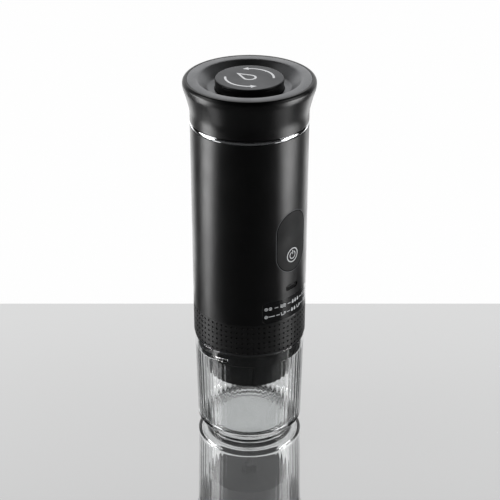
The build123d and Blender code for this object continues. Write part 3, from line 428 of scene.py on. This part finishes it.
def place_piece(name, mesh, body, slots, replaced=(), sharp=38):
    """Turns a finished mesh into a piece that rides on a body, smooth but for its sharp edges."""
    piece = add_object(name, bpy.data.meshes.new(name))
    for slot in slots:
        piece.data.materials.append(finishes[slot])
    for face in mesh.faces:
        face.smooth = True
    for edge in mesh.edges:
        edge.smooth = len(edge.link_faces) == 2 and edge.calc_face_angle(0.0) < radians(sharp)
    mesh.to_mesh(piece.data)
    mesh.free()
    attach(piece, body)
    if replaced:
        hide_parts(*replaced)


# ---------------------------------------------------------------- Clear cup

CUP_TOP = 68.8
CUP_OUTER = 34.5
CUP_BORE = 32.2
RIM_ROUND = 0.5
RIM_ROUND_CUT = 0.15
RIM_ROUND_INSIDE = 0.6
LUG_STRIP_TOP = 64.0
LUG_STRIP_STEP = 0.2
LUG_STRIP_ROWS = 19
TAPER_TOP = 59.0
TAPER_LEAD = 0.6
TAPER_ROWS = 17
TAPER_FIRST_SHARE = 0.02
TAPER_SHARE = 0.06
TAPER_FALL = 49.3
TAPER_IN = 1.3
CUP_FLOOR = 7.2
CUP_UNDERSIDE = 2.8
FOOT_OUTER = 28.0
FOOT_INNER = 24.2
FOOT_HEIGHT = 4.8
FOOT_EASE = 0.3
# Centre and radius of the rounds between wall and floor, and of the lower edge outside
FLOOR_ROUND = (28.4, 9.7, 2.5)
EDGE_ROUND = (31.9, 7.682, 1.5)
EDGE_ROUND_START = -71.6

FLUTES = 64
FLUTE_LOW = 9.7
FLUTE_HIGH = 60.7
FLUTE_SWING = 0.04
INNER_WALL_LOW = 7.3
INNER_WALL_HIGH = 66.0
INNER_WALL_REACH = 32.3
LUG_HEIGHT = 62.2
LUG_HALF_HEIGHT = 0.9
LUG_HALF_ARC = 9.0
LUG_ANGLES = (-171.0, -51.0, 69.0)
LUG_REACH = 1.1
LUG_RISE = 16.0 / 360

# The rim with its rounded edges, then the strip of wall that is cut fine for the lugs
cup_profile = [
    (CUP_OUTER, CUP_TOP - RIM_ROUND), (CUP_OUTER - RIM_ROUND_CUT, CUP_TOP - RIM_ROUND_CUT),
    (CUP_OUTER - RIM_ROUND, CUP_TOP), (CUP_BORE + RIM_ROUND, CUP_TOP),
    (CUP_BORE + RIM_ROUND_CUT, CUP_TOP - RIM_ROUND_CUT), (CUP_BORE, CUP_TOP - RIM_ROUND_INSIDE),
    (CUP_BORE, LUG_STRIP_TOP + LUG_STRIP_STEP),
]
cup_profile += [(CUP_BORE, LUG_STRIP_TOP - LUG_STRIP_STEP * step) for step in range(LUG_STRIP_ROWS)]
cup_profile += [(CUP_BORE, TAPER_TOP + TAPER_LEAD), (CUP_BORE, TAPER_TOP)]
# The tapered wall that the flutes run down, the floor, the foot ring and the rounded lower edge
for share in [TAPER_FIRST_SHARE + TAPER_SHARE * step for step in range(TAPER_ROWS)]:
    cup_profile.append((CUP_BORE - TAPER_IN * share, TAPER_TOP - TAPER_FALL * share))
cup_profile += arc(*FLOOR_ROUND, 0, -90, 8)
cup_profile += [
    (0, CUP_FLOOR), (0, CUP_UNDERSIDE), (FOOT_INNER, CUP_UNDERSIDE), (FOOT_INNER, FOOT_EASE),
    (FOOT_INNER + FOOT_EASE, 0), (FOOT_OUTER - FOOT_EASE, 0), (FOOT_OUTER, FOOT_EASE),
    (FOOT_OUTER, FOOT_HEIGHT),
]
cup_profile += arc(*EDGE_ROUND, EDGE_ROUND_START, 0, 6)

cup_mesh = turned(held(cup_profile), FLUTES * 6)
for dot in cup_mesh.verts:
    reach = hypot(dot.co.x, dot.co.y) / MM
    height = dot.co.z / MM
    if not (INNER_WALL_LOW < height < INNER_WALL_HIGH and reach < INNER_WALL_REACH):
        continue
    angle = atan2(dot.co.y, dot.co.x)
    swing = fade(FLUTE_LOW - 1, FLUTE_LOW + 1, height) * (1 - fade(FLUTE_HIGH - 1, FLUTE_HIGH, height))
    out = FLUTE_SWING * swing * (1 + cos(FLUTES * angle))
    for centre in LUG_ANGLES:
        turn = (angle - radians(centre) + pi) % (2 * pi) - pi
        drop = height - LUG_HEIGHT - LUG_RISE * turn * 180 / pi
        if abs(turn) < radians(LUG_HALF_ARC) and abs(drop) < LUG_HALF_HEIGHT:
            out = -LUG_REACH
    dot.co.x *= (reach + out) / reach
    dot.co.y *= (reach + out) / reach
place_piece("clear_cup", cup_mesh, "cup", ["clear_plastic"], ["cup"], sharp=50)

# ---------------------------------------------------------------- Grip band with rows of round dimples

DIMPLE_COLUMNS = 66
DIMPLE_ROWS = 6
DIMPLE_PITCH = 3.54
DIMPLE_RADIUS = 0.75
DIMPLE_DEPTH = 0.5
DIMPLE_WALL = 0.12
BAND_ROUND = 1.2
BAND_EASE = 0.15
BAND_FOOT_RADIUS = 33.8
BAND_BORE = NECK_RADIUS + 0.1
BAND_MIDDLE = (BAND_BOTTOM + BAND_TOP) / 2

# One cell is a grid whose outer ring makes the cell's border and whose next ring makes the dimple's rim
band = bmesh.new()
bmesh.ops.create_grid(band, x_segments=4, y_segments=4, size=1)
for dot in band.verts:
    ring = round(2 * max(abs(dot.co.x), abs(dot.co.y)))
    if ring == 2:
        dot.co = Vector((dot.co.x * (pi / DIMPLE_COLUMNS) * TUBE_RADIUS, dot.co.y * DIMPLE_PITCH / 2, 0))
    elif ring == 1:
        dot.co = Vector((dot.co.x, dot.co.y, 0)).normalized() * DIMPLE_RADIUS
hollow = [f for f in band.faces if all(v.co.length < DIMPLE_RADIUS + SLACK for v in f.verts)]
bmesh.ops.inset_region(band, faces=hollow, thickness=DIMPLE_WALL, depth=-DIMPLE_DEPTH)

# The cell is repeated up the band, wrapped on the tube and spun round it
cell = band.verts[:] + band.edges[:] + band.faces[:]
for row in range(1, DIMPLE_ROWS):
    copied = verts_of(bmesh.ops.duplicate(band, geom=cell)["geom"])
    bmesh.ops.translate(band, verts=copied, vec=(0, row * DIMPLE_PITCH, 0))
bmesh.ops.remove_doubles(band, verts=band.verts, dist=0.01)
for dot in band.verts:
    height = BAND_MIDDLE + dot.co.y - DIMPLE_PITCH * (DIMPLE_ROWS - 1) / 2
    under = max(0.0, BAND_BOTTOM + BAND_ROUND - height)
    depth = dot.co.z - (BAND_ROUND - sqrt(max(0.0, BAND_ROUND**2 - under**2)))
    dot.co = on_tube(dot.co.x, height, depth)
bmesh.ops.spin(
    band, geom=band.verts[:] + band.edges[:] + band.faces[:], cent=(0, 0, 0), axis=(0, 0, 1),
    dvec=(0, 0, 0), angle=2 * pi * (DIMPLE_COLUMNS - 1) / DIMPLE_COLUMNS, steps=DIMPLE_COLUMNS - 1,
    use_duplicate=True, use_merge=False, use_normal_flip=False,
)
bmesh.ops.remove_doubles(band, verts=band.verts, dist=0.02 * MM)


def grow_rim(mesh, rim, radius, height):
    """Extrudes a ring of open edges to another radius and height, and returns the new ring."""
    made = bmesh.ops.extrude_edge_only(mesh, edges=rim)["geom"]
    for dot in verts_of(made):
        flat = Vector((dot.co.x, dot.co.y, 0)).normalized() * radius
        dot.co = Vector((flat.x, flat.y, height)) * MM
    return [e for e in made if isinstance(e, bmesh.types.BMEdge)]


open_edges = [e for e in band.edges if e.is_boundary]
low_rim = [e for e in open_edges if e.verts[0].co.z < BAND_MIDDLE * MM]
high_rim = [e for e in open_edges if e.verts[0].co.z > BAND_MIDDLE * MM]
for radius, height in ((BAND_FOOT_RADIUS, BAND_BOTTOM), (BAND_BORE, BAND_BOTTOM)):
    low_rim = grow_rim(band, low_rim, radius, height)
for radius, height in (
    (TUBE_RADIUS, BAND_TOP - BAND_EASE), (TUBE_RADIUS - BAND_EASE, BAND_TOP), (BAND_BORE, BAND_TOP),
):
    high_rim = grow_rim(band, high_rim, radius, height)
bmesh.ops.bridge_loops(band, edges=low_rim + high_rim)
bmesh.ops.recalc_face_normals(band, faces=band.faces)
place_piece("dimpled_band", band, "main", ["grip_rubber"], ["grip_band"])

# ---------------------------------------------------------------- Trim ring with a face that bulges a little

RING_INNER = 33.6
RING_BULGE = 0.35
RING_MIDDLE = (RING_BOTTOM + RING_TOP) / 2

ring_profile = [
    (TUBE_RADIUS - RING_BULGE * abs(share) ** 2.5, RING_MIDDLE + share * (RING_TOP - RING_BOTTOM) / 2)
    for share in [step / 8 for step in range(-8, 9)]
]
ring_profile += [(RING_INNER, RING_TOP), (RING_INNER, RING_BOTTOM)]
place_piece("bulged_ring", turned(ring_profile), "main", ["chrome"], ["trim_ring"])

# ---------------------------------------------------------------- Cap top: a grey plate sunk to a grey dish

PLATE_EDGE = 1.8
PLATE_BORE = 20.4
PLATE_WIDTH = 5.8
PLATE_EASE = 0.2
DISH_RIM = PLATE_RADIUS - PLATE_WIDTH
DISH_WALL = 0.6
DISH_EASE = 1.0
DISH_DROP = 6.2
DISH_FLOOR = 24.2
DISH_BACK = 25.3
DISH_HEIGHT = PLATE_TOP - DISH_DROP

plate = turned([
    (PLATE_RADIUS, PLATE_TOP), (DISH_RIM, PLATE_TOP), (DISH_FLOOR, DISH_HEIGHT),
    (PLATE_BORE, DISH_HEIGHT), (PLATE_BORE, PLATE_BOTTOM), (DISH_BACK, PLATE_BOTTOM),
    (DISH_RIM + DISH_WALL, PLATE_TOP - PLATE_EDGE), (PLATE_RADIUS, PLATE_TOP - PLATE_EDGE),
])
for face in plate.faces:
    middle = face.calc_center_median()
    face.material_index = 0 if face.normal.z > 0.1 and middle.z > (DISH_HEIGHT - SLACK) * MM else 1
ease(plate, PLATE_RADIUS, PLATE_TOP, PLATE_EASE, 2)
ease(plate, DISH_RIM, PLATE_TOP, DISH_EASE)
ease(plate, DISH_FLOOR, DISH_HEIGHT, DISH_EASE)
place_piece("cap_top", plate, "cap", ["grey_cap", "black_plastic"], ["cap_top_plate"])

# ---------------------------------------------------------------- Centre button: a dark disc on a black knob

KNOB_RADIUS = 20.0
KNOB_SINK = 0.05
KNOB_FACE = KNOB_TOP - KNOB_SINK
KNOB_EASE = 0.8
KNOB_FACE_RADIUS = 18.9
KNOB_GROOVE_TOP = 236.0
KNOB_GROOVE = 0.3
# Radius, underside and top of the flange, and radius and roof of the hollow
KNOB_FLANGE = (22.0, 227.4, 228.9)
KNOB_HOLLOW = (18.0, 235.2)
STEM_RADIUS = 3.0
STEM_STEP = 202.9
STEM_TIP_RADIUS = 1.5

knob = turned([
    (0, KNOB_FACE), (KNOB_FACE_RADIUS, KNOB_FACE), (KNOB_RADIUS, KNOB_FACE),
    (KNOB_RADIUS, KNOB_GROOVE_TOP), (KNOB_RADIUS - KNOB_GROOVE, KNOB_GROOVE_TOP),
    (KNOB_RADIUS - KNOB_GROOVE, KNOB_GROOVE_TOP - KNOB_GROOVE),
    (KNOB_RADIUS, KNOB_GROOVE_TOP - KNOB_GROOVE), (KNOB_RADIUS, KNOB_FLANGE[2]),
    (KNOB_FLANGE[0], KNOB_FLANGE[2]), (KNOB_FLANGE[0], KNOB_FLANGE[1]),
    (KNOB_HOLLOW[0], KNOB_FLANGE[1]), KNOB_HOLLOW, (STEM_RADIUS, KNOB_HOLLOW[1]),
    (STEM_RADIUS, STEM_STEP), (STEM_TIP_RADIUS, STEM_STEP), (STEM_TIP_RADIUS, KNOB_BOTTOM),
    (0, KNOB_BOTTOM),
])
for face in knob.faces:
    middle = face.calc_center_median()
    face.material_index = 0 if face.normal.z > 0.9 and middle.z > (KNOB_FACE - SLACK) * MM else 1
ease(knob, KNOB_RADIUS, KNOB_FACE, KNOB_EASE)
place_piece("centre_button", knob, "vent", ["knob_grey", "black_plastic"], ["vent_button"])

# ---------------------------------------------------------------- Prints on the tube

PRINT_PROUD = 0.03
PRINT_LIFT = 0.01


def raise_print(mesh):
    """Turns the faces of a print on the tube outwards and gives them their thickness."""
    bmesh.ops.recalc_face_normals(mesh, faces=mesh.faces)
    inward = [f for f in mesh.faces if f.normal.xy.dot(f.calc_center_median().xy) < 0]
    bmesh.ops.reverse_faces(mesh, faces=inward)
    bmesh.ops.solidify(mesh, geom=mesh.faces[:], thickness=-PRINT_PROUD * MM)
    bmesh.ops.recalc_face_normals(mesh, faces=mesh.faces)


# Label print: two rows of plain signs for the two ways of pressing the button
LABEL_HEIGHT = LABEL_TOP - LABEL_BOTTOM
ROW_HIGH = LABEL_BOTTOM + 0.69 * LABEL_HEIGHT
ROW_LOW = LABEL_BOTTOM + 0.31 * LABEL_HEIGHT
# Width and height of bars, and radius and line width of rings
DASH = (2.4, 0.45)
HOLD_BAR = (4.2, 0.5)
HEAT_BAR = (0.55, 2.3)
WAVE_BAR = (4.0, 0.42)
WAVE_SWING = 0.25
WAVE_RATE = 2.6
WAVE_GAP = 0.8
BUTTON_RING = (1.1, 0.4)
BUTTON_DOT = 0.4
END_RING = (1.15, 0.45)
DROP_RADIUS = 0.85
BAR_STEP = 0.5
CUP_SIGN_FLOOR = (2.0, 0.5)
CUP_SIGN_SIDE = (0.5, 2.2)
CUP_SIGN_HALF = 1.0
CUP_SIGN_DROP = 0.95
CUP_SIGN_LEAN = 0.2
CUP_SIGN_HANDLE = (0.75, 0.35)
HANDLE_ACROSS = 1.75
HANDLE_UP = 0.15

signs = bmesh.new()


def print_disc(across, up, radius):
    """Round dot of the print."""
    dots = bmesh.ops.create_circle(signs, cap_ends=True, segments=16, radius=radius)["verts"]
    bmesh.ops.translate(signs, verts=dots, vec=(across, up, 0))


def print_bar(across, up, width, height, wave=0.0, lean=0.0):
    """Bar of the print, cut fine enough to wrap round the tube, that may wave or lean."""
    steps = max(2, round(width / BAR_STEP))
    dots = bmesh.ops.create_grid(signs, x_segments=steps, y_segments=1, size=0.5)["verts"]
    for dot in dots:
        x, y = dot.co.x * width, dot.co.y * height
        dot.co = Vector((across + x + lean * y, up + y + wave * sin(x * WAVE_RATE), 0))


def print_ring(across, up, radius, width):
    """Ring of the print."""
    dots = bmesh.ops.create_circle(signs, cap_ends=False, segments=20, radius=radius)["verts"]
    inner = verts_of(bmesh.ops.extrude_edge_only(signs, edges=edges_round(dots))["geom"])
    bmesh.ops.scale(signs, verts=inner, vec=Vector((1, 1, 1)) * (radius - width) / radius)
    bmesh.ops.translate(signs, verts=dots + inner, vec=(across, up, 0))


def print_drop(across, up, radius):
    """Drop of the print: a disc with its top drawn to a point."""
    dots = bmesh.ops.create_circle(signs, cap_ends=True, segments=16, radius=radius)["verts"]
    for dot in dots:
        if dot.co.y > radius * 0.8:
            dot.co.y = radius * 2.0
    bmesh.ops.translate(signs, verts=dots, vec=(across, up - radius * 0.4, 0))


def print_cup(across, up):
    """Small cup of the print, with its handle."""
    print_bar(across, up - CUP_SIGN_DROP, *CUP_SIGN_FLOOR)
    print_bar(across - CUP_SIGN_HALF, up, *CUP_SIGN_SIDE, lean=-CUP_SIGN_LEAN)
    print_bar(across + CUP_SIGN_HALF, up, *CUP_SIGN_SIDE, lean=CUP_SIGN_LEAN)
    print_ring(across + HANDLE_ACROSS, up + HANDLE_UP, *CUP_SIGN_HANDLE)


def print_button(across, up):
    """Button of the print: a ring round a dot."""
    print_ring(across, up, *BUTTON_RING)
    print_disc(across, up, BUTTON_DOT)


def print_waves(across, up):
    """Three waves of the print, one above the other."""
    for shift in (-WAVE_GAP, 0.0, WAVE_GAP):
        print_bar(across, up + shift, *WAVE_BAR, wave=WAVE_SWING)


for across in (-18.7, -16.0):
    print_button(across, ROW_HIGH)
print_bar(-12.0, ROW_HIGH, *DASH)
print_waves(-7.2, ROW_HIGH)
print_bar(-2.4, ROW_HIGH, *DASH)
for across in (0.8, 3.2, 5.6):
    print_drop(across, ROW_HIGH, DROP_RADIUS)
print_bar(8.6, ROW_HIGH, *DASH)
for across in (11.6, 13.4, 15.2):
    print_bar(across, ROW_HIGH, *HEAT_BAR)
print_ring(18.2, ROW_HIGH, *END_RING)

print_button(-18.7, ROW_LOW)
print_bar(-15.1, ROW_LOW, *HOLD_BAR)
print_bar(-10.8, ROW_LOW, *DASH)
print_cup(-7.4, ROW_LOW)
print_bar(-2.8, ROW_LOW, *DASH)
for across in (0.2, 2.6):
    print_drop(across, ROW_LOW, DROP_RADIUS)
print_cup(6.2, ROW_LOW)
print_bar(10.8, ROW_LOW, *DASH)
print_waves(15.6, ROW_LOW)

for dot in signs.verts:
    dot.co = on_tube(dot.co.x, dot.co.y, PRINT_LIFT)
raise_print(signs)
place_piece("label_print", signs, "main", ["light_guide"])

# Joint line round the control panel, painted on the tube: a strip of painted shade for the gap, and outside
# it a strip of painted highlight for the eased edge of the tube
PANEL_ROUND = 12.25
PANEL_MIDDLE = (PANEL_BOTTOM + PANEL_TOP) / 2
PANEL_HALF_STRAIGHT = (PANEL_TOP - PANEL_BOTTOM) / 2 - PANEL_ROUND
LINE_STEPS = 96
# Inner side of the painted shade, the line where it meets the painted highlight, and that highlight's outer
# side
LINE_OFFSETS = (-0.4, 0.1, 0.5)
# The painted shade's finish is in the piece's second slot and the painted highlight's in its third
GAP_SLOT = 1

joint = bmesh.new()
loops = []
for offset in LINE_OFFSETS:
    dots = bmesh.ops.create_circle(
        joint, cap_ends=False, segments=LINE_STEPS, radius=PANEL_ROUND + offset
    )["verts"]
    loops.append(edges_round(dots))
# The inner band of faces takes the painted shade, and the outer band the painted edge highlight
for material, (inner, outer) in enumerate(zip(loops, loops[1:]), GAP_SLOT):
    for face in bmesh.ops.bridge_loops(joint, edges=inner + outer)["faces"]:
        face.material_index = material
for dot in joint.verts:
    # The circles are drawn apart to the panel's long form
    shift = PANEL_HALF_STRAIGHT * ((dot.co.y > 0.01) - (dot.co.y < -0.01))
    dot.co = on_tube(dot.co.x, PANEL_MIDDLE + dot.co.y + shift, PRINT_LIFT)
raise_print(joint)
place_piece("panel_joint", joint, "main", ["matte_black", "gap_shade", "painted_edge_highlight"])

# ---------------------------------------------------------------- Table

TABLE_BACK = 145.0
TABLE_REACH = 2500.0
TABLE_MIRROR = 0.66
TABLE_HAZE = 60.0


def glossy_table():
    """Acrylic, cast and polished: pale grey under a mirror sheen."""
    material, tree = new_material("polished_grey_acrylic")
    haze = grain(tree, TABLE_HAZE, 1.0)
    body = add_node(tree, "ShaderNodeBsdfDiffuse", Color=linear("#808182"))
    dullness = add_node(
        tree, "ShaderNodeMapRange", Value=haze, To_Min=0.02, To_Max=0.035, **NOISE_STRETCH
    ).outputs["Result"]
    sheen = add_node(tree, "ShaderNodeBsdfGlossy", Color=linear("#FFFFFF"), Roughness=dullness)
    mixed = add_node(
        tree, "ShaderNodeMixShader", Fac=TABLE_MIRROR, _1=body.outputs[0], _2=sheen.outputs[0]
    )
    tree.links.new(mixed.outputs[0], tree.nodes["Material Output"].inputs["Surface"])
    return material


table_mesh = bmesh.new()
bmesh.ops.create_grid(table_mesh, x_segments=1, y_segments=1, size=TABLE_REACH * MM)
bmesh.ops.rotate(table_mesh, verts=table_mesh.verts, matrix=Matrix.Rotation(VIEW_TURN, 3, "Z"))
bmesh.ops.translate(table_mesh, verts=table_mesh.verts, vec=BACKWARD * (TABLE_REACH - TABLE_BACK) * MM)
table = add_object("table_top", bpy.data.meshes.new("table_top"))
table_mesh.to_mesh(table.data)
table_mesh.free()
table.data.materials.append(glossy_table())
